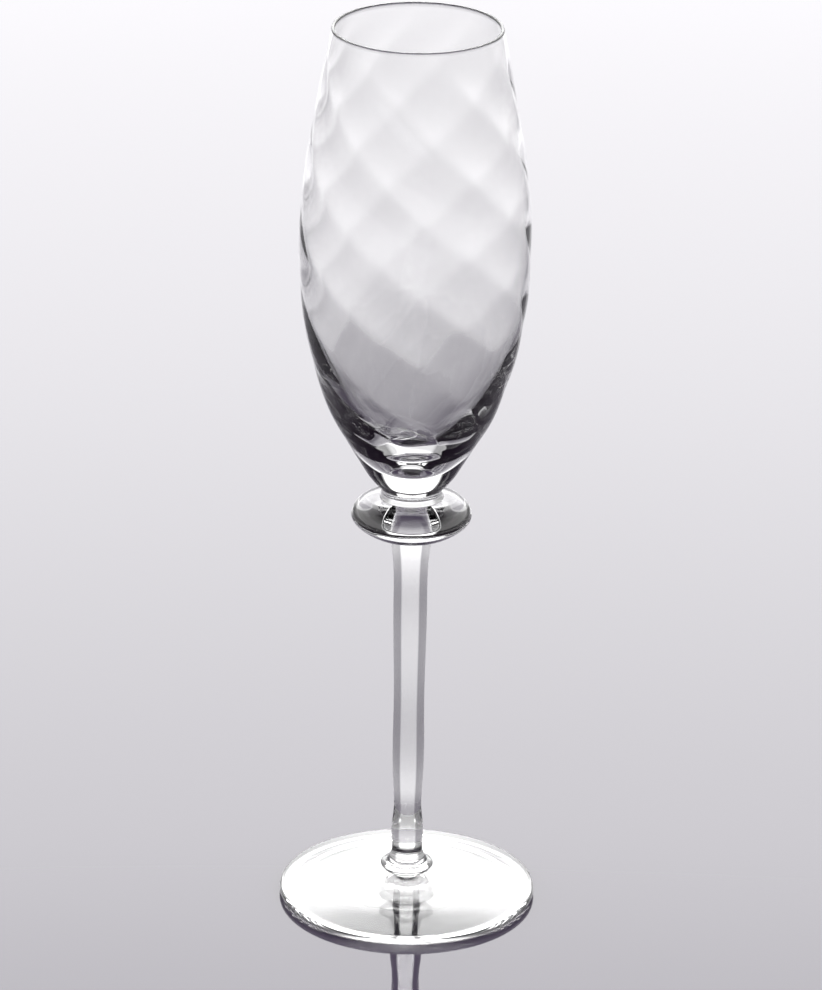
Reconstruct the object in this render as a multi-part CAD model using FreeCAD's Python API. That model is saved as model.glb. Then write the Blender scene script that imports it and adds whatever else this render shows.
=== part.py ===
"""Champagne flute in clear glass: optic-twist bowl, knop, drawn stem and domed foot.

The glass stands upright on its foot. The origin is the centre of the circle that the
foot rests on, +Z runs up the stem, and -Y is the front. All lengths are millimetres
and all angles are degrees. Each piece is one gather of glass; the pieces meet on
shared flat circles, where the hot glass is joined.
"""

import FreeCAD, Part

import math
import os

# Heights of the joins, from the table up
FOOT_TOP_Z = 6.4
FOOT_MERESE_TOP_Z = 9.8
STEM_TOP_Z = 105.7
KNOP_TOP_Z = 117.3
NECK_TOP_Z = 119.8
RIM_Z = 248.8

# Radii of the circles that the pieces share
FOOT_JOIN_RADIUS = 4.8
STEM_FOOT_RADIUS = 5.6
STEM_KNOP_RADIUS = 5.6
KNOP_NECK_RADIUS = 8.7
NECK_BOWL_RADIUS = 8.35

# Foot
FOOT_RADIUS = 35.0
FOOT_EDGE_THICKNESS = 2.8
FOOT_REST_INNER_RADIUS = 31.9
FOOT_HOLLOW_HEIGHT = 3.1

# Small disc of glass above the foot, and the neck under the bowl
FOOT_MERESE_RADIUS = 7.2
NECK_WAIST_RADIUS = 8.15

# Knop
KNOP_RADIUS = 16.25
KNOP_WIDEST_Z = 112.0

# Bowl
LIP_WALL = 1.0
CAVITY_BOTTOM_Z = 127.2

# Optic ribs: scalloped lobes that climb the bowl as a left-handed spiral, with a
# fainter copy of each lobe on the wall of the cavity.
# They are pressed by hand: a little crowded and shallower on the +Y side.
RIB_COUNT = 8
RIB_TURN_PER_MM = 2.15
RIB_TURN_CHANGE = 0.0025
RIB_VALLEY_ANGLE = -11.0
RIB_VALLEY_Z = 190.0
RIB_DRIFT = 10.0
RIB_CROWDING = 6.0
RIB_BACK_SHARE = 0.38
RIB_SOFTNESS = 0.2
RIB_DEPTH_OUTSIDE = 0.36
RIB_DEPTH_INSIDE = 0.10
RIB_START_OUTSIDE_Z = 127.0
RIB_START_INSIDE_Z = 131.0
RIB_FADE_IN = 14.0
RIB_FADE_OUT = 16.0

# Grid of control points of the bowl's skin
SKIN_COLUMNS = 96
SKIN_ROWS_PER_SIDE = 48
SKIN_ROWS_IN_LIP = 5

# Outlines as (radius, height), from the bottom up
BOWL_OUTSIDE = [
    (NECK_BOWL_RADIUS, NECK_TOP_Z),
    (10.25, 122.0),
    (11.9, 124.1),
    (13.3, 126.4),
    (17.3, 133.2),
    (20.1, 138.0),
    (25.0, 150.0),
    (28.75, 165.0),
    (30.45, 180.0),
    (30.55, 195.0),
    (29.0, 212.0),
    (26.0, 230.0),
    (22.6, RIM_Z - LIP_WALL / 2),
]
BOWL_INSIDE = [
    (0.0, CAVITY_BOTTOM_Z),
    (5.0, 128.6),
    (8.0, 131.2),
    (11.7, 135.1),
    (15.5, 139.6),
    (19.6, 145.5),
    (23.2, 152.5),
    (26.2, 160.5),
    (28.3, 170.0),
    (29.4, 181.0),
    (29.6, 195.0),
    (28.0, 212.0),
    (25.0, 230.0),
    (22.6 - LIP_WALL, RIM_Z - LIP_WALL / 2),
]
KNOP_OUTLINE = [
    (STEM_KNOP_RADIUS, STEM_TOP_Z),
    (9.6, 106.7),
    (14.0, 109.1),
    (KNOP_RADIUS, KNOP_WIDEST_Z),
    (14.7, 115.1),
    (11.5, 116.7),
    (KNOP_NECK_RADIUS, KNOP_TOP_Z),
]
STEM_OUTLINE = [
    (STEM_FOOT_RADIUS, FOOT_MERESE_TOP_Z),
    (4.5, 11.8),
    (4.4, 18.0),
    (3.85, 24.5),
    (4.1, 34.0),
    (4.2, 57.5),
    (4.6, 85.0),
    (4.75, 97.0),
    (STEM_KNOP_RADIUS, STEM_TOP_Z),
]
FOOT_MERESE_OUTLINE = [
    (FOOT_JOIN_RADIUS, FOOT_TOP_Z),
    (6.3, 7.4),
    (FOOT_MERESE_RADIUS, 8.7),
    (STEM_FOOT_RADIUS, FOOT_MERESE_TOP_Z),
]
NECK_OUTLINE = [
    (KNOP_NECK_RADIUS, KNOP_TOP_Z),
    (NECK_WAIST_RADIUS, 118.5),
    (NECK_BOWL_RADIUS, NECK_TOP_Z),
]
FOOT_TOP_OUTLINE = [
    (FOOT_RADIUS - FOOT_EDGE_THICKNESS / 2, FOOT_EDGE_THICKNESS),
    (25.0, 3.75),
    (15.0, 5.0),
    (FOOT_JOIN_RADIUS, FOOT_TOP_Z),
]
FOOT_HOLLOW_OUTLINE = [
    (0.0, FOOT_HOLLOW_HEIGHT),
    (12.0, 2.75),
    (24.0, 1.5),
    (FOOT_REST_INNER_RADIUS, 0.0),
]


def point(radius, height):
    """Point of an outline in the XZ half plane."""
    return FreeCAD.Vector(radius, 0, height)


def smooth_curve(outline):
    """Smooth curve through the points of an outline."""
    curve = Part.BSplineCurve()
    curve.interpolate([point(radius, height) for radius, height in outline])
    return curve


def level_curve(outline):
    """Smooth curve that starts on the axis and leaves it level, as a dome does."""
    mirrored = [(-radius, height) for radius, height in reversed(outline[1:])]
    whole = smooth_curve(mirrored + outline)
    start = whole.parameter(point(*outline[0]))
    whole.segment(start, whole.LastParameter)
    return whole


def line(start, end):
    """Straight edge between two (radius, height) points."""
    return Part.makeLine(point(*start), point(*end))


def turned(edges):
    """Solid made by turning a closed outline about the stem's axis."""
    face = Part.Face(Part.Wire(Part.__sortEdges__(edges)))
    return face.revolve(point(0, 0), FreeCAD.Vector(0, 0, 1), 360)


def turned_gather(outline):
    """Solid of revolution with a flat disc at each end of its outline."""
    bottom = outline[0]
    top = outline[-1]
    axis_bottom = (0, bottom[1])
    axis_top = (0, top[1])
    return turned([
        line(axis_bottom, bottom),
        smooth_curve(outline).toShape(),
        line(top, axis_top),
        line(axis_top, axis_bottom),
    ])


def make_foot():
    """Domed foot: rounded edge, narrow resting ring, hollow underside."""
    half = FOOT_EDGE_THICKNESS / 2
    rest_outer = (FOOT_RADIUS - half, 0.0)
    edge = Part.Arc(
        point(*rest_outer),
        point(FOOT_RADIUS, half),
        point(FOOT_RADIUS - half, FOOT_EDGE_THICKNESS),
    )
    return turned([
        level_curve(FOOT_HOLLOW_OUTLINE).toShape(),
        line(FOOT_HOLLOW_OUTLINE[-1], rest_outer),
        edge.toShape(),
        smooth_curve(FOOT_TOP_OUTLINE).toShape(),
        line(FOOT_TOP_OUTLINE[-1], (0, FOOT_TOP_Z)),
        line((0, FOOT_TOP_Z), FOOT_HOLLOW_OUTLINE[0]),
    ])


def ease(value):
    """Smooth step from 0 to 1."""
    t = min(max(value, 0.0), 1.0)
    return t * t * (3 - 2 * t)


def rib_strength(height, start):
    """Share of the full rib depth at a height; ribs fade out at both ends."""
    rise = ease((height - start) / RIB_FADE_IN)
    fall = ease((RIM_Z - height) / RIB_FADE_OUT)
    return rise * fall


def rib_wave(angle, height):
    """Scallop round the bowl, high on a lobe's crest and low in a valley."""
    rise = height - RIB_VALLEY_Z
    valley = RIB_VALLEY_ANGLE - RIB_TURN_PER_MM * rise + RIB_TURN_CHANGE * rise ** 2
    back = math.sin(math.radians(angle))
    side = math.cos(math.radians(angle))
    uneven = RIB_DRIFT * (1 + back) / 2 - RIB_CROWDING * side
    turn = math.radians(RIB_COUNT * (angle + uneven - valley) / 2)
    wave = math.hypot(math.sin(turn), RIB_SOFTNESS) - 2 / math.pi
    return wave * (1 - RIB_BACK_SHARE * back)


def skin_row(radius, height, depth):
    """Ring of control points at one height, with lobes of the given depth."""
    ring = []
    step = 360 / SKIN_COLUMNS
    spread = 3 / (2 + math.cos(math.radians(step)))
    for column in range(SKIN_COLUMNS):
        angle = column * step
        lobed = radius * spread + depth * rib_wave(angle, height)
        x = lobed * math.cos(math.radians(angle))
        y = lobed * math.sin(math.radians(angle))
        ring.append(FreeCAD.Vector(x, y, height))
    return ring


def outside_rows():
    """Rows up the outside of the bowl, from the neck to the lip."""
    spots = smooth_curve(BOWL_OUTSIDE).discretize(SKIN_ROWS_PER_SIDE + 1)
    rows = []
    for spot in spots[:-1]:
        depth = RIB_DEPTH_OUTSIDE * rib_strength(spot.z, RIB_START_OUTSIDE_Z)
        rows.append(skin_row(spot.x, spot.z, depth))
    return rows


def lip_rows():
    """Rows over the rounded lip, from the outside to the inside."""
    half = LIP_WALL / 2
    centre = BOWL_OUTSIDE[-1][0] - half
    rows = []
    for index in range(SKIN_ROWS_IN_LIP + 1):
        angle = math.pi * index / SKIN_ROWS_IN_LIP
        radius = centre + half * math.cos(angle)
        height = RIM_Z - half + half * math.sin(angle)
        rows.append(skin_row(radius, height, 0.0))
    return rows


def inside_rows():
    """Rows down the inside of the bowl, from the lip to the bottom of the cavity."""
    spots = level_curve(BOWL_INSIDE).discretize(SKIN_ROWS_PER_SIDE + 1)
    rows = []
    for spot in reversed(spots[1:-1]):
        depth = RIB_DEPTH_INSIDE * rib_strength(spot.z, RIB_START_INSIDE_Z)
        rows.append(skin_row(spot.x, spot.z, depth))
    rows.append(skin_row(0.0, CAVITY_BOTTOM_Z, 0.0))
    return rows


def skin_surface(rows):
    """Smooth closed sheet over rings of control points, bottom row first."""
    degree = 3
    columns = [list(column) for column in zip(*rows)]
    spans = len(rows) - degree
    around_knots = [float(k) for k in range(SKIN_COLUMNS + 1)]
    along_knots = [float(k) for k in range(spans + 1)]
    ends = [degree + 1]
    surface = Part.BSplineSurface()
    surface.buildFromPolesMultsKnots(
        columns,
        [1] * (SKIN_COLUMNS + 1),
        ends + [1] * (spans - 1) + ends,
        around_knots,
        along_knots,
        True,
        False,
        degree,
        degree,
    )
    return surface


def make_bowl():
    """Bowl: one ribbed skin from the neck over the lip to the cavity, on a flat base."""
    rows = outside_rows() + lip_rows() + inside_rows()
    skin = skin_surface(rows).toShape()
    base_edge = min(skin.Edges, key=lambda edge: edge.BoundBox.ZMax)
    base = Part.Face(Part.Wire([base_edge]))
    shell = Part.makeShell([skin, base])
    shell.sewShape()
    solid = Part.makeSolid(Part.Shell(shell.Faces))
    if solid.Volume < 0:
        solid.reverse()
    return solid


def make_parts():
    """All the gathers of the flute, by name."""
    return {
        "foot": make_foot(),
        "foot_merese": turned_gather(FOOT_MERESE_OUTLINE),
        "stem": turned_gather(STEM_OUTLINE),
        "knop": turned_gather(KNOP_OUTLINE),
        "neck": turned_gather(NECK_OUTLINE),
        "bowl": make_bowl(),
    }


def main():
    os.makedirs("parts", exist_ok=True)
    for name, shape in make_parts().items():
        box = shape.optimalBoundingBox(False)
        print(name, shape.ShapeType, "valid", shape.isValid(), "closed", shape.isClosed())
        print("   volume %.1f  x %.2f %.2f  z %.2f %.2f" % (
            shape.Volume, box.XMin, box.XMax, box.ZMin, box.ZMax))
        shape.exportStep(os.path.join("parts", name + ".step"))


main()
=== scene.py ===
"""Champagne flute in clear glass on a glossy table, lit by a bright backdrop.

Lengths are metres unless a comment says millimetres. Each piece of glass is a smooth
mesh that stands for the CAD node of the same shape. Flat faces where two gathers are
joined let light straight through, because the glass is one body there.
"""

import math

import bpy
import numpy as np
from mathutils import Euler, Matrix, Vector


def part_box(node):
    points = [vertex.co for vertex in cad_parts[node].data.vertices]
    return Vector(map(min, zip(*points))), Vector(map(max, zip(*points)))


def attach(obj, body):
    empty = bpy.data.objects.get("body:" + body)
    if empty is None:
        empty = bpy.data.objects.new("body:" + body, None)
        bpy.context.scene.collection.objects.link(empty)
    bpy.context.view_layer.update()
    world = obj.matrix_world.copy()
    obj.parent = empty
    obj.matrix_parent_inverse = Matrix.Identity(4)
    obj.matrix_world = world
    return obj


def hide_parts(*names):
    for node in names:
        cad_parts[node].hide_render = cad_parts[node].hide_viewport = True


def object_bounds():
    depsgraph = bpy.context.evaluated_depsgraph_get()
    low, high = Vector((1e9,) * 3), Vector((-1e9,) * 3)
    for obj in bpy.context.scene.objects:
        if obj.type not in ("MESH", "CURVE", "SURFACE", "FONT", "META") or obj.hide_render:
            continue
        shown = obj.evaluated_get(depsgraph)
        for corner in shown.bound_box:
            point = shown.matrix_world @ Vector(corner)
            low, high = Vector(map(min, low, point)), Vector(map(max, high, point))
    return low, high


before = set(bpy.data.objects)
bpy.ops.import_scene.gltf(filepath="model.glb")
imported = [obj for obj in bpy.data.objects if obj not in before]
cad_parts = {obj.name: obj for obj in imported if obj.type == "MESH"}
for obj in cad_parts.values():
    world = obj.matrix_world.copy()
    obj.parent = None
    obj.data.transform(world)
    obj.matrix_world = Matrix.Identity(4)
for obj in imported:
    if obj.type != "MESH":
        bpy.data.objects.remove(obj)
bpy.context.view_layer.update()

MM = 0.001

# Radii of the flat joins in millimetres, each named after the gather below it
FOOT_JOIN = 4.8
MERESE_JOIN = 5.6
STEM_JOIN = 5.6
KNOP_JOIN = 8.7
NECK_JOIN = 8.35

# Foot's rounded edge and bowl's rounded lip, in millimetres
FOOT_EDGE_THICKNESS = 2.8
FOOT_EDGE_CENTRE = 33.6
MOUTH_RADIUS = 22.6
MOUTH_HEIGHT = 128.5
LIP_WALL = 1.0

# Outlines as (radius, height above the node's base) in millimetres, from the bottom up
FOOT_TOP = [(FOOT_EDGE_CENTRE, FOOT_EDGE_THICKNESS), (25.0, 3.75), (15.0, 5.0), (FOOT_JOIN, 6.4)]
FOOT_HOLLOW = [(0.0, 3.1), (12.0, 2.75), (24.0, 1.5), (31.9, 0.0)]
FOOT_MERESE = [(FOOT_JOIN, 0.0), (6.3, 1.0), (7.2, 2.3), (MERESE_JOIN, 3.4)]
STEM = [
    (MERESE_JOIN, 0.0),
    (4.5, 2.0),
    (4.4, 8.2),
    (3.85, 14.7),
    (4.1, 24.2),
    (4.2, 47.7),
    (4.6, 75.2),
    (4.75, 87.2),
    (STEM_JOIN, 95.9),
]
KNOP = [
    (STEM_JOIN, 0.0),
    (9.6, 1.0),
    (14.0, 3.4),
    (16.25, 6.3),
    (14.7, 9.4),
    (11.5, 11.0),
    (KNOP_JOIN, 11.6),
]
NECK = [(KNOP_JOIN, 0.0), (8.15, 1.2), (NECK_JOIN, 2.5)]
BOWL_OUTSIDE = [
    (NECK_JOIN, 0.0),
    (10.25, 2.2),
    (11.9, 4.3),
    (13.3, 6.6),
    (17.3, 13.4),
    (20.1, 18.2),
    (25.0, 30.2),
    (28.75, 45.2),
    (30.45, 60.2),
    (30.55, 75.2),
    (29.0, 92.2),
    (26.0, 110.2),
    (MOUTH_RADIUS, MOUTH_HEIGHT),
]
BOWL_INSIDE = [
    (0.0, 7.4),
    (5.0, 8.8),
    (8.0, 11.4),
    (11.7, 15.3),
    (15.5, 19.8),
    (19.6, 25.7),
    (23.2, 32.7),
    (26.2, 40.7),
    (28.3, 50.2),
    (29.4, 61.2),
    (29.6, 75.2),
    (28.0, 92.2),
    (25.0, 110.2),
    (MOUTH_RADIUS - LIP_WALL, MOUTH_HEIGHT),
]

# Optic ribs of the bowl, in millimetres and degrees
RIB_COUNT = 8
RIB_TURN_PER_MM = 2.15
RIB_TURN_CHANGE = 0.0025
RIB_VALLEY_ANGLE = -11.0
RIB_VALLEY_HEIGHT = 70.2
RIB_DEPTH_OUTSIDE = 0.36
RIB_DEPTH_INSIDE = 0.10
RIB_START_OUTSIDE = 7.2
RIB_START_INSIDE = 11.2
RIB_FADE_IN = 14.0
RIB_FADE_OUT = 16.0
RIB_SOFTNESS = 0.2
RIB_CROWDING = 6.0
RIB_DRIFT = 10.0
RIB_BACK_SHARE = 0.38
RIB_MEAN_WAVE = 2 / math.pi

# Plain turned gathers: outline, points up the outline, points round it
GATHERS = {
    "foot_merese": (FOOT_MERESE, 24, 96),
    "stem": (STEM, 200, 96),
    "knop": (KNOP, 80, 144),
    "neck": (NECK, 24, 144),
}

# Mesh detail of the other pieces: rows are points up an outline, columns are points round it
FOOT_ROWS = 60
FOOT_EDGE_ROWS = 17
FOOT_COLUMNS = 240
BOWL_ROWS = 165
BOWL_LIP_ROWS = 13
BOWL_COLUMNS = 288
SPLINE_STEPS = 40
POLE_RADIUS = 1e-6

# Glass, with noise cells to the metre for its waviness
GLASS_IOR = 1.52
GLASS_WAVES = 60.0
GLASS_WAVE_STRENGTH = 0.05
GLASS_WAVE_HEIGHT = 0.1 * MM

# Table top
FLOOR_GAP = 0.05 * MM
FLOOR_RADIUS = 30.0
FLOOR_SIDES = 128
FLOOR_COLOUR = (0.043, 0.033, 0.057, 1.0)
FLOOR_ROUGHNESS = 0.02
FLOOR_IOR = 1.5

# Backdrop: full light, and the share of it at each elevation in degrees
BACKDROP_LIGHT = 6.45
BACKDROP_SHARES = [
    (0.0, 0.15),
    (5.0, 0.22),
    (9.0, 0.55),
    (13.0, 0.78),
    (17.0, 0.68),
    (21.5, 0.73),
    (25.0, 0.72),
    (27.0, 0.66),
    (33.0, 0.74),
    (45.0, 0.47),
    (62.0, 0.05),
]

# Turns away from +Y, in degrees, where the backdrop starts and where it is full
BACK_TURNS = (31.0, 20.0)

# Weaker light round the rest of the flute: its share at the first turn and at the second
SIDE_SHARE = 0.55
FRONT_SHARE = 0.6
FRONT_TURNS = (60.0, 100.0)

# Share of that weaker light left for light that has passed through glass
THROUGH_GLASS = 0.75

# Painted shade, a dark shell that only light bent by the glass sees, which paints dark refractions
# into it. In degrees: turns from +Y where its sides are full and where they end, elevations
# between which the part overhead comes in, and elevations between which all of it comes in
SHADE_SIDE_TURNS = (31.0, 24.0)
SHADE_TOP_RISES = (40.0, 52.0)
SHADE_FOOT_RISES = (3.0, 5.0)
# Near-black colour of the painted shade, which only the glass's refractions show
PAINTED_SHADE_COLOUR = (0.003, 0.001, 0.003, 1.0)
SHADE_SHELL_RADIUS = 8.0
SHADE_SHELL_COLUMNS = 64
SHADE_SHELL_ROWS = 32

# Camera: places in metres, angles in degrees, lens and sensor in millimetres
CAMERA_DISTANCE = 1.4978
CAMERA_HEIGHT = 0.7213
CAMERA_SIDE = -0.0002
CAMERA_PITCH = 21.956
CAMERA_ROLL = 0.77
CAMERA_LENS = 218.8
CAMERA_SENSOR = 36.0
CAMERA_RANGE = 100.0

# Bounces that light needs to cross all the walls of the flute and of its mirror image
GLASS_BOUNCES = 40
GLOSSY_BOUNCES = 20


def cosine(degrees):
    """Cosine of an angle in degrees."""
    return math.cos(math.radians(degrees))


def sine(degrees):
    """Sine of an angle in degrees."""
    return math.sin(math.radians(degrees))


def spline_bends(knots, gaps):
    """Second derivatives at the knots of a natural cubic spline."""
    size = len(knots)
    matrix = np.eye(size)
    right = np.zeros((size, 2))
    for i in range(1, size - 1):
        matrix[i, i - 1:i + 2] = gaps[i - 1], 2 * (gaps[i - 1] + gaps[i]), gaps[i]
        slopes = np.diff(knots[i - 1:i + 2], axis=0) / gaps[i - 1:i + 1, None]
        right[i] = 6 * (slopes[1] - slopes[0])
    return np.linalg.solve(matrix, right)


def spline(points, count):
    """Evenly spaced points on the natural cubic spline through a list of points."""
    knots = np.array(points, float)
    size = len(knots)
    gaps = np.linalg.norm(np.diff(knots, axis=0), axis=1)
    bend = spline_bends(knots, gaps)
    t = np.concatenate(([0.0], np.cumsum(gaps)))
    fine = np.linspace(0, t[-1], SPLINE_STEPS * size)
    span = np.clip(np.searchsorted(t, fine, side="right") - 1, 0, size - 2)
    h = gaps[span][:, None]
    a = (t[span + 1] - fine)[:, None] / h
    b = 1 - a
    curve = a * knots[span] + b * knots[span + 1]
    curve += ((a ** 3 - a) * bend[span] + (b ** 3 - b) * bend[span + 1]) * h * h / 6
    run = np.concatenate(([0.0], np.cumsum(np.linalg.norm(np.diff(curve, axis=0), axis=1))))
    even = np.linspace(0, run[-1], count)
    return np.column_stack([np.interp(even, run, curve[:, k]) for k in (0, 1)])


def level_spline(points, count):
    """Spline that starts on the axis and leaves it level, as a dome does."""
    mirrored = [(-radius, height) for radius, height in reversed(points[1:])]
    whole = spline(mirrored + points, 2 * count - 1)
    half = whole[count - 1:]
    half[0] = points[0]
    return half


def arc(centre, radius, start, end, count):
    """Points on a round stretch of an outline, from one angle to another."""
    angles = np.radians(np.linspace(start, end, count))
    return np.column_stack([
        centre[0] + radius * np.cos(angles),
        centre[1] + radius * np.sin(angles),
    ])


def ease(value):
    """Smooth step from 0 to 1."""
    t = min(max(value, 0.0), 1.0)
    return t * t * (3 - 2 * t)


def rib_strength(height, start):
    """Share of the full rib depth at a height; ribs fade out at both ends."""
    rise = ease((height - start) / RIB_FADE_IN)
    fall = ease((MOUTH_HEIGHT + LIP_WALL / 2 - height) / RIB_FADE_OUT)
    return rise * fall


def rib_wave(angles, height):
    """Scallop round the bowl, high on a lobe's crest and low in a valley."""
    rise = height - RIB_VALLEY_HEIGHT
    valley = RIB_VALLEY_ANGLE - RIB_TURN_PER_MM * rise + RIB_TURN_CHANGE * rise ** 2
    uneven = RIB_DRIFT * (1 + np.sin(angles)) / 2 - RIB_CROWDING * np.cos(angles)
    turn = np.radians(RIB_COUNT * (np.degrees(angles) + uneven - valley) / 2)
    wave = np.sqrt(np.sin(turn) ** 2 + RIB_SOFTNESS ** 2) - RIB_MEAN_WAVE
    return wave * (1 - RIB_BACK_SHARE * np.sin(angles))


def band_faces(low, high, low_size, high_size):
    """Faces between two rings of vertices, given their first vertices and sizes."""
    columns = max(low_size, high_size)
    faces = []
    for i in range(columns):
        j = (i + 1) % columns
        if low_size == 1:
            faces.append((low, high + j, high + i))
        elif high_size == 1:
            faces.append((low + i, low + j, high))
        else:
            faces.append((low + i, low + j, high + j, high + i))
    return faces


def round_mesh(name, rings, closed_bottom, closed_top):
    """Mesh over rings of points; a ring of one point is a pole.

    closed_bottom and closed_top add flat joint faces with the second material.
    """
    verts = [point for ring in rings for point in ring]
    sizes = [len(ring) for ring in rings]
    starts = np.cumsum([0] + sizes).tolist()
    faces = []
    for row in range(len(rings) - 1):
        faces += band_faces(starts[row], starts[row + 1], sizes[row], sizes[row + 1])
    joints = []
    if closed_bottom:
        joints.append(tuple(reversed(range(sizes[0]))))
    if closed_top:
        joints.append(tuple(range(starts[-2], starts[-1])))
    mesh = bpy.data.meshes.new(name)
    mesh.from_pydata(verts, [], faces + joints)
    for polygon in mesh.polygons:
        polygon.use_smooth = polygon.index < len(faces)
        polygon.material_index = 0 if polygon.index < len(faces) else 1
    mesh.update()
    return mesh


def rings_of(outline, base, stretch, columns, depths=None):
    """Rings of points in metres for an outline in millimetres."""
    angles = np.linspace(0, 2 * math.pi, columns, endpoint=False)
    rings = []
    for index, (radius, height) in enumerate(outline):
        z = base + height * MM * stretch
        if radius < POLE_RADIUS:
            rings.append([(0.0, 0.0, z)])
            continue
        spread = np.full(columns, radius)
        if depths is not None and depths[index]:
            spread = spread + depths[index] * rib_wave(angles, height)
        xs = spread * np.cos(angles) * MM
        ys = spread * np.sin(angles) * MM
        rings.append([(x, y, z) for x, y in zip(xs, ys)])
    return rings


def glass_piece(node, outline, columns, closed_bottom, closed_top, depths=None):
    """Glass piece that stands for a CAD node, built on that node's height."""
    low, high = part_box(node)
    top = max(height for _, height in outline)
    stretch = (high[2] - low[2]) / (top * MM)
    rings = rings_of(outline, low[2], stretch, columns, depths)
    mesh = round_mesh(node + "_glass", rings, closed_bottom, closed_top)
    mesh.materials.append(clear_glass)
    mesh.materials.append(joint_glass)
    piece = bpy.data.objects.new(node + "_glass", mesh)
    bpy.context.scene.collection.objects.link(piece)
    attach(piece, "root")
    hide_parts(node)


def make_foot():
    """Domed foot: hollow underside, resting ring, rounded edge and sloping top."""
    half = FOOT_EDGE_THICKNESS / 2
    hollow = level_spline(FOOT_HOLLOW, FOOT_ROWS)
    edge = arc((FOOT_EDGE_CENTRE, half), half, -90, 90, FOOT_EDGE_ROWS)
    top = spline(FOOT_TOP, FOOT_ROWS)[1:]
    outline = np.vstack([hollow, edge, top])
    glass_piece("foot", outline, FOOT_COLUMNS, closed_bottom=False, closed_top=True)


def make_gathers():
    """Plain turned gathers between the foot and the bowl, each with two joins."""
    for node, (points, rows, columns) in GATHERS.items():
        glass_piece(node, spline(points, rows), columns, closed_bottom=True, closed_top=True)


def make_bowl():
    """Ribbed bowl: outside, rounded lip and cavity in one skin."""
    outside = spline(BOWL_OUTSIDE, BOWL_ROWS)
    inside = level_spline(BOWL_INSIDE, BOWL_ROWS)[::-1]
    half = LIP_WALL / 2
    lip = arc((MOUTH_RADIUS - half, MOUTH_HEIGHT), half, 0, 180, BOWL_LIP_ROWS)[1:-1]
    outline = np.vstack([outside, lip, inside])
    depths = [RIB_DEPTH_OUTSIDE * rib_strength(z, RIB_START_OUTSIDE) for _, z in outside]
    depths += [0.0] * len(lip)
    depths += [RIB_DEPTH_INSIDE * rib_strength(z, RIB_START_INSIDE) for _, z in inside]
    glass_piece("bowl", outline, BOWL_COLUMNS, closed_bottom=True, closed_top=False, depths=depths)


def new_material(name):
    """Empty node material with its output node."""
    material = bpy.data.materials.new(name)
    material.use_nodes = True
    tree = material.node_tree
    tree.nodes.clear()
    output = tree.nodes.new("ShaderNodeOutputMaterial")
    return material, tree, output


def make_clear_glass():
    """Clear hand-worked glass with a faint waviness left by the tools."""
    material, tree, output = new_material("clear_glass")
    shader = tree.nodes.new("ShaderNodeBsdfPrincipled")
    shader.inputs["Base Color"].default_value = (1.0, 1.0, 1.0, 1.0)
    shader.inputs["Roughness"].default_value = 0.0
    shader.inputs["IOR"].default_value = GLASS_IOR
    shader.inputs["Transmission Weight"].default_value = 1.0
    coordinates = tree.nodes.new("ShaderNodeTexCoord")
    waves = tree.nodes.new("ShaderNodeTexNoise")
    waves.inputs["Scale"].default_value = GLASS_WAVES
    waves.inputs["Detail"].default_value = 0.0
    bump = tree.nodes.new("ShaderNodeBump")
    bump.inputs["Strength"].default_value = GLASS_WAVE_STRENGTH
    bump.inputs["Distance"].default_value = GLASS_WAVE_HEIGHT
    tree.links.new(coordinates.outputs["Object"], waves.inputs["Vector"])
    tree.links.new(waves.outputs["Fac"], bump.inputs["Height"])
    tree.links.new(bump.outputs["Normal"], shader.inputs["Normal"])
    tree.links.new(shader.outputs["BSDF"], output.inputs["Surface"])
    return material


def make_joint_glass():
    """Face inside the glass where two gathers are joined: light passes straight on."""
    material, tree, output = new_material("joint_glass")
    shader = tree.nodes.new("ShaderNodeBsdfTransparent")
    tree.links.new(shader.outputs["BSDF"], output.inputs["Surface"])
    return material


def make_floor_material():
    """Dark glossy table top, which mirrors the backdrop."""
    material, tree, output = new_material("table_top")
    shader = tree.nodes.new("ShaderNodeBsdfPrincipled")
    shader.inputs["Base Color"].default_value = FLOOR_COLOUR
    shader.inputs["Roughness"].default_value = FLOOR_ROUGHNESS
    shader.inputs["IOR"].default_value = FLOOR_IOR
    tree.links.new(shader.outputs["BSDF"], output.inputs["Surface"])
    return material


def make_floor():
    """Round table top under the flute."""
    bpy.ops.mesh.primitive_circle_add(
        vertices=FLOOR_SIDES,
        radius=FLOOR_RADIUS,
        fill_type="NGON",
        location=(0, 0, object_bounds()[0][2] - FLOOR_GAP),
    )
    floor = bpy.context.object
    floor.name = "table_top"
    floor.data.materials.append(make_floor_material())


def smooth_share(tree, value, start, end, low, high):
    """Node that eases from low to high as value goes from start to end."""
    node = tree.nodes.new("ShaderNodeMapRange")
    node.interpolation_type = "SMOOTHSTEP"
    node.inputs["From Min"].default_value = start
    node.inputs["From Max"].default_value = end
    node.inputs["To Min"].default_value = low
    node.inputs["To Max"].default_value = high
    tree.links.new(value, node.inputs["Value"])
    return node.outputs["Result"]


def math_node(tree, operation, first, second):
    """Node that combines two values."""
    node = tree.nodes.new("ShaderNodeMath")
    node.operation = operation
    tree.links.new(first, node.inputs[0])
    tree.links.new(second, node.inputs[1])
    return node.outputs["Value"]


def unit_axes(tree, vector):
    """X, Y and Z of a vector made one unit long."""
    unit = tree.nodes.new("ShaderNodeVectorMath")
    unit.operation = "NORMALIZE"
    tree.links.new(vector, unit.inputs[0])
    axes = tree.nodes.new("ShaderNodeSeparateXYZ")
    tree.links.new(unit.outputs["Vector"], axes.inputs["Vector"])
    return axes.outputs


def direction_parts(tree, vector):
    """Sine of the elevation, and cosine of the turn away from +Y, of a direction."""
    flat = tree.nodes.new("ShaderNodeVectorMath")
    flat.operation = "MULTIPLY"
    flat.inputs[1].default_value = (1, 1, 0)
    tree.links.new(vector, flat.inputs[0])
    return unit_axes(tree, vector)["Z"], unit_axes(tree, flat.outputs["Vector"])["Y"]


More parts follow.
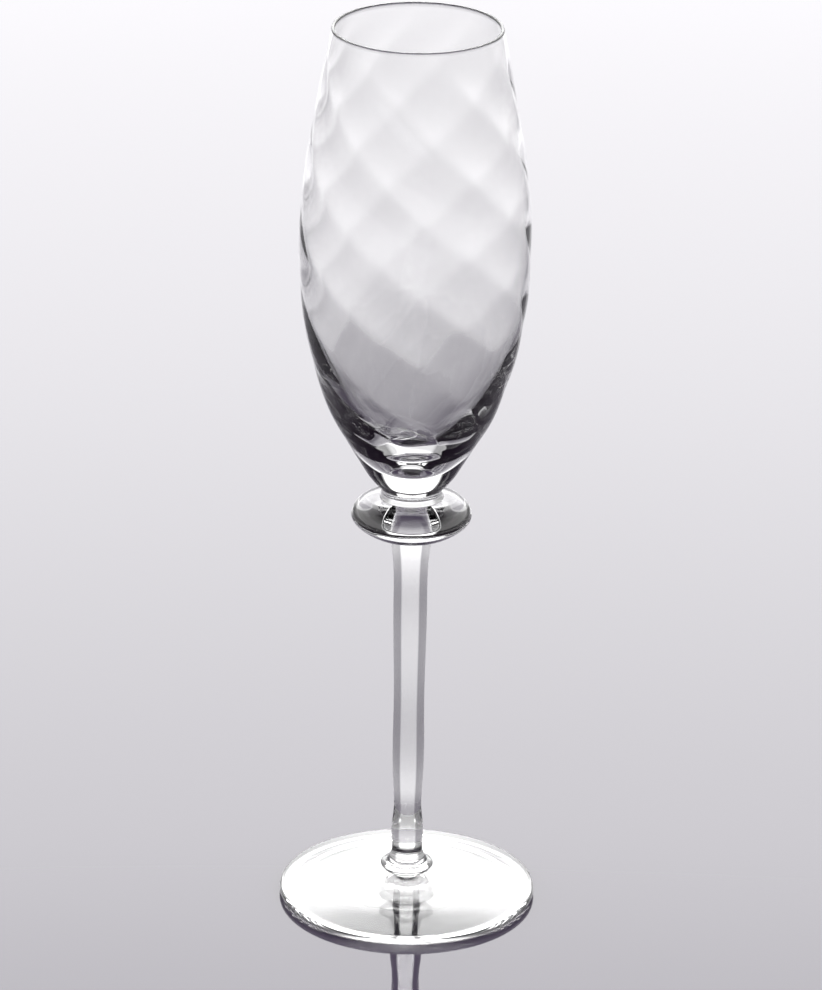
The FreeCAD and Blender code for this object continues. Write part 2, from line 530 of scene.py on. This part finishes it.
def backdrop_grey(tree, rise):
    """Backdrop's share of full light, as a grey, at a sine of the elevation."""
    node = tree.nodes.new("ShaderNodeValToRGB")
    ramp = node.color_ramp
    ramp.interpolation = "EASE"
    ramp.elements.remove(ramp.elements[1])
    for index, (degrees, part) in enumerate(BACKDROP_SHARES):
        stop = ramp.elements.new(sine(degrees)) if index else ramp.elements[0]
        stop.position = sine(degrees)
        stop.color = (part, part, part, 1)
    tree.links.new(rise, node.inputs["Fac"])
    return node.outputs["Color"]


def surround_share(tree, turn):
    """Share of the light at a turn: full behind the flute, weaker at its sides and front.

    The weaker part is dimmed for light that has passed through glass, which stands for
    dark cards close to the glass.
    """
    behind = smooth_share(tree, turn, *map(cosine, BACK_TURNS), 0.0, 1.0)
    around = smooth_share(tree, turn, *map(cosine, FRONT_TURNS), SIDE_SHARE, FRONT_SHARE)
    path = tree.nodes.new("ShaderNodeLightPath")
    depth = path.outputs["Transmission Depth"]
    dimming = smooth_share(tree, depth, 0.0, 1.0, 1.0, THROUGH_GLASS)
    dimmed = math_node(tree, "MULTIPLY", around, dimming)
    return math_node(tree, "MAXIMUM", behind, dimmed)


def make_world():
    """Pale surround, brightest behind the flute."""
    world = bpy.data.worlds.new("studio")
    bpy.context.scene.world = world
    world.use_nodes = True
    tree = world.node_tree
    tree.nodes.clear()
    output = tree.nodes.new("ShaderNodeOutputWorld")
    background = tree.nodes.new("ShaderNodeBackground")
    background.inputs["Strength"].default_value = BACKDROP_LIGHT
    coordinates = tree.nodes.new("ShaderNodeTexCoord")
    rise, turn = direction_parts(tree, coordinates.outputs["Generated"])
    mix = tree.nodes.new("ShaderNodeMix")
    mix.data_type = "RGBA"
    mix.blend_type = "MULTIPLY"
    mix.inputs["Factor"].default_value = 1.0
    tree.links.new(backdrop_grey(tree, rise), mix.inputs["A"])
    tree.links.new(surround_share(tree, turn), mix.inputs["B"])
    tree.links.new(mix.outputs["Result"], background.inputs["Color"])
    tree.links.new(background.outputs["Background"], output.inputs["Surface"])


def painted_shade_mask(tree):
    """1 where the painted shade is dark, 0 in the gap between its sides and below it."""
    coordinates = tree.nodes.new("ShaderNodeTexCoord")
    rise, turn = direction_parts(tree, coordinates.outputs["Object"])
    side = smooth_share(tree, turn, *map(cosine, SHADE_SIDE_TURNS), 1.0, 0.0)
    over = smooth_share(tree, rise, *map(sine, SHADE_TOP_RISES), 0.0, 1.0)
    dark = math_node(tree, "MAXIMUM", side, over)
    above = smooth_share(tree, rise, *map(sine, SHADE_FOOT_RISES), 0.0, 1.0)
    return math_node(tree, "MULTIPLY", dark, above)


def make_painted_shade_material():
    """Painted shade for the refractions in the glass: a near-black glow, clear in the gap that
    opens on the backdrop.
    """
    material, tree, output = new_material("painted_shade_shell")
    clear = tree.nodes.new("ShaderNodeBsdfTransparent")
    black = tree.nodes.new("ShaderNodeEmission")
    # Near-black glow: painted shade in the glass's refractions
    black.inputs["Color"].default_value = PAINTED_SHADE_COLOUR
    mix = tree.nodes.new("ShaderNodeMixShader")
    tree.links.new(painted_shade_mask(tree), mix.inputs["Fac"])
    tree.links.new(clear.outputs["BSDF"], mix.inputs[1])
    tree.links.new(black.outputs["Emission"], mix.inputs[2])
    tree.links.new(mix.outputs["Shader"], output.inputs["Surface"])
    return material


def make_painted_shade_shell():
    """Painted shade: a dark shell that only light bent by the glass sees, so it darkens the
    glass's refractions alone. It is open towards the backdrop.
    """
    bpy.ops.mesh.primitive_uv_sphere_add(
        segments=SHADE_SHELL_COLUMNS,
        ring_count=SHADE_SHELL_ROWS,
        radius=SHADE_SHELL_RADIUS,
    )
    shade_sphere = bpy.context.object
    shade_sphere.name = "painted_shade_shell"
    shade_sphere.data.materials.append(make_painted_shade_material())
    # Seen only by light that has passed through glass, so the painted shade shows in its
    # refractions alone
    shade_sphere.visible_camera = False
    shade_sphere.visible_diffuse = False
    shade_sphere.visible_glossy = False
    shade_sphere.visible_shadow = False


def make_camera():
    """Long lens looking down at the flute, rolled a little."""
    data = bpy.data.cameras.new("camera")
    data.lens = CAMERA_LENS
    data.sensor_width = CAMERA_SENSOR
    data.clip_end = CAMERA_RANGE
    camera = bpy.data.objects.new("camera", data)
    camera.location = (CAMERA_SIDE, -CAMERA_DISTANCE, CAMERA_HEIGHT)
    look = Euler((math.radians(90 - CAMERA_PITCH), 0, 0)).to_matrix()
    roll = Euler((0, 0, math.radians(CAMERA_ROLL))).to_matrix()
    camera.rotation_euler = (look @ roll).to_euler()
    bpy.context.scene.collection.objects.link(camera)
    bpy.context.scene.camera = camera


def set_light_paths():
    """Plain colour response, and enough bounces for glass seen through glass."""
    scene = bpy.context.scene
    scene.view_settings.view_transform = "Standard"
    scene.cycles.max_bounces = GLASS_BOUNCES
    scene.cycles.transmission_bounces = GLASS_BOUNCES
    scene.cycles.glossy_bounces = GLOSSY_BOUNCES
    scene.cycles.transparent_max_bounces = GLASS_BOUNCES


clear_glass = make_clear_glass()
joint_glass = make_joint_glass()
make_foot()
make_gathers()
make_bowl()
make_floor()
make_world()
# Painted shade that darkens the glass's refractions
make_painted_shade_shell()
make_camera()
set_light_paths()
